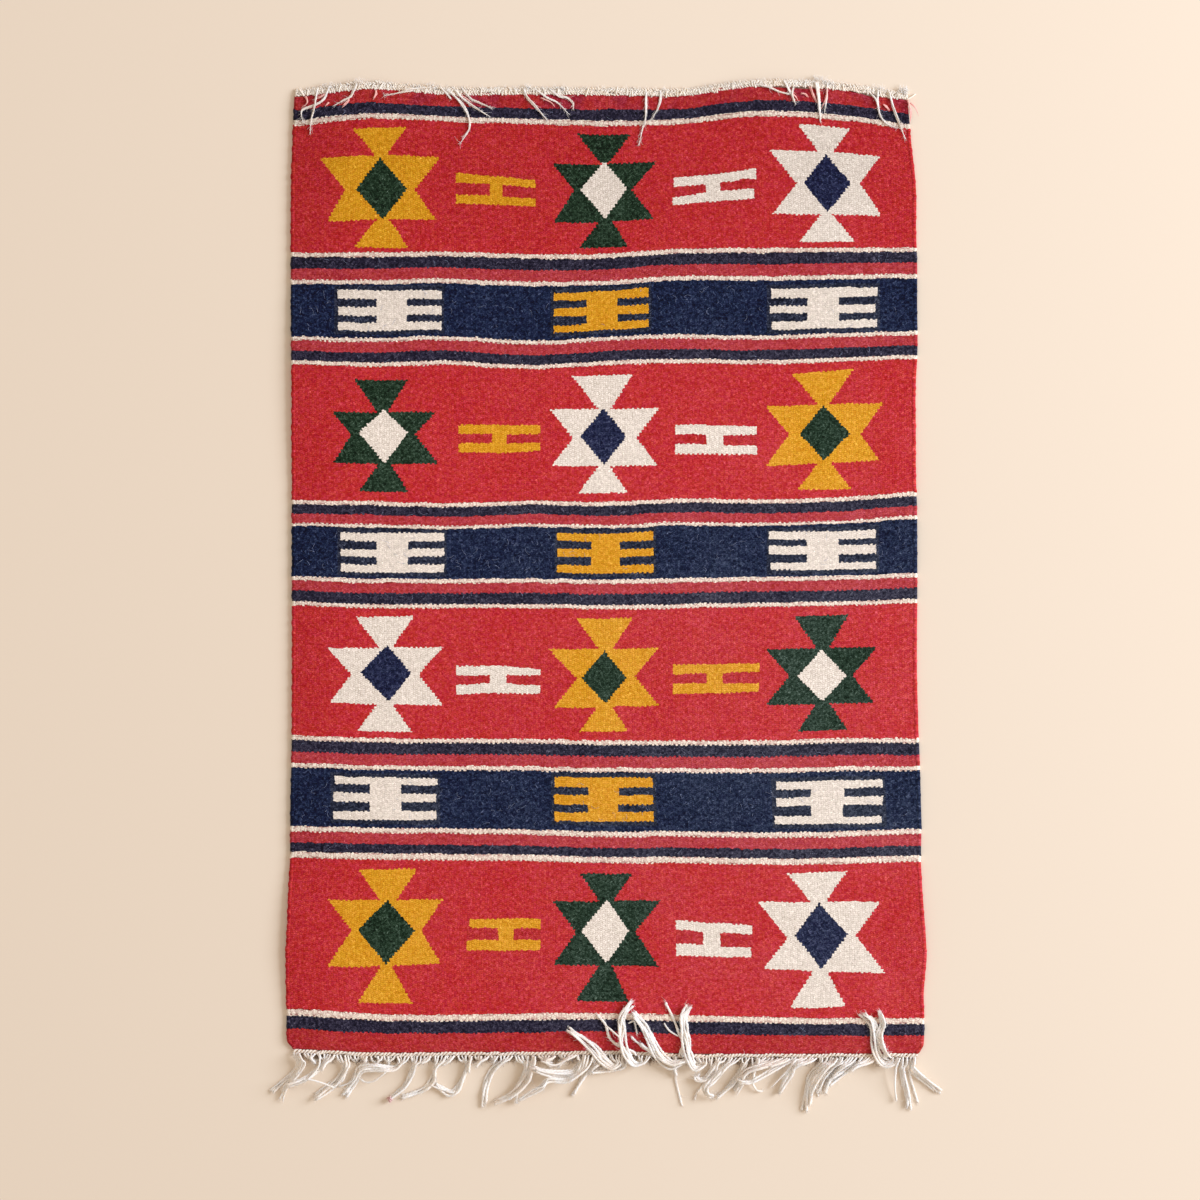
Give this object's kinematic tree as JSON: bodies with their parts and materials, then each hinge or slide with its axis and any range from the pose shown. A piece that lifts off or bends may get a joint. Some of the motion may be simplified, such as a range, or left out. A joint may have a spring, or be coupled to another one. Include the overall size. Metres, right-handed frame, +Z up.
{
  "type": "kilim rug",
  "caption": "Small flat-woven wool rug lying flat, with striped red fields of stepped stars, blue comb bands and a rough warp fringe.",
  "frame": {"origin": "centre of the cloth's flat underside", "axes": "+X to the right and +Y to the upper end with the cloth seen from above, along its warps; +Z up from the floor"},
  "size_m": [0.6418, 0.9883, 0.0082],
  "materials": {
    "wool_cloth": "matt tapestry-woven wool, madder red with indigo, ochre, green and cream",
    "raw_warp": "matt undyed warp yarn"
  },
  "bodies": {
    "root": {"kilim_cloth": "wool_cloth", "upper_fringe": "raw_warp", "lower_fringe": "raw_warp"}
  },
  "joints": []
}
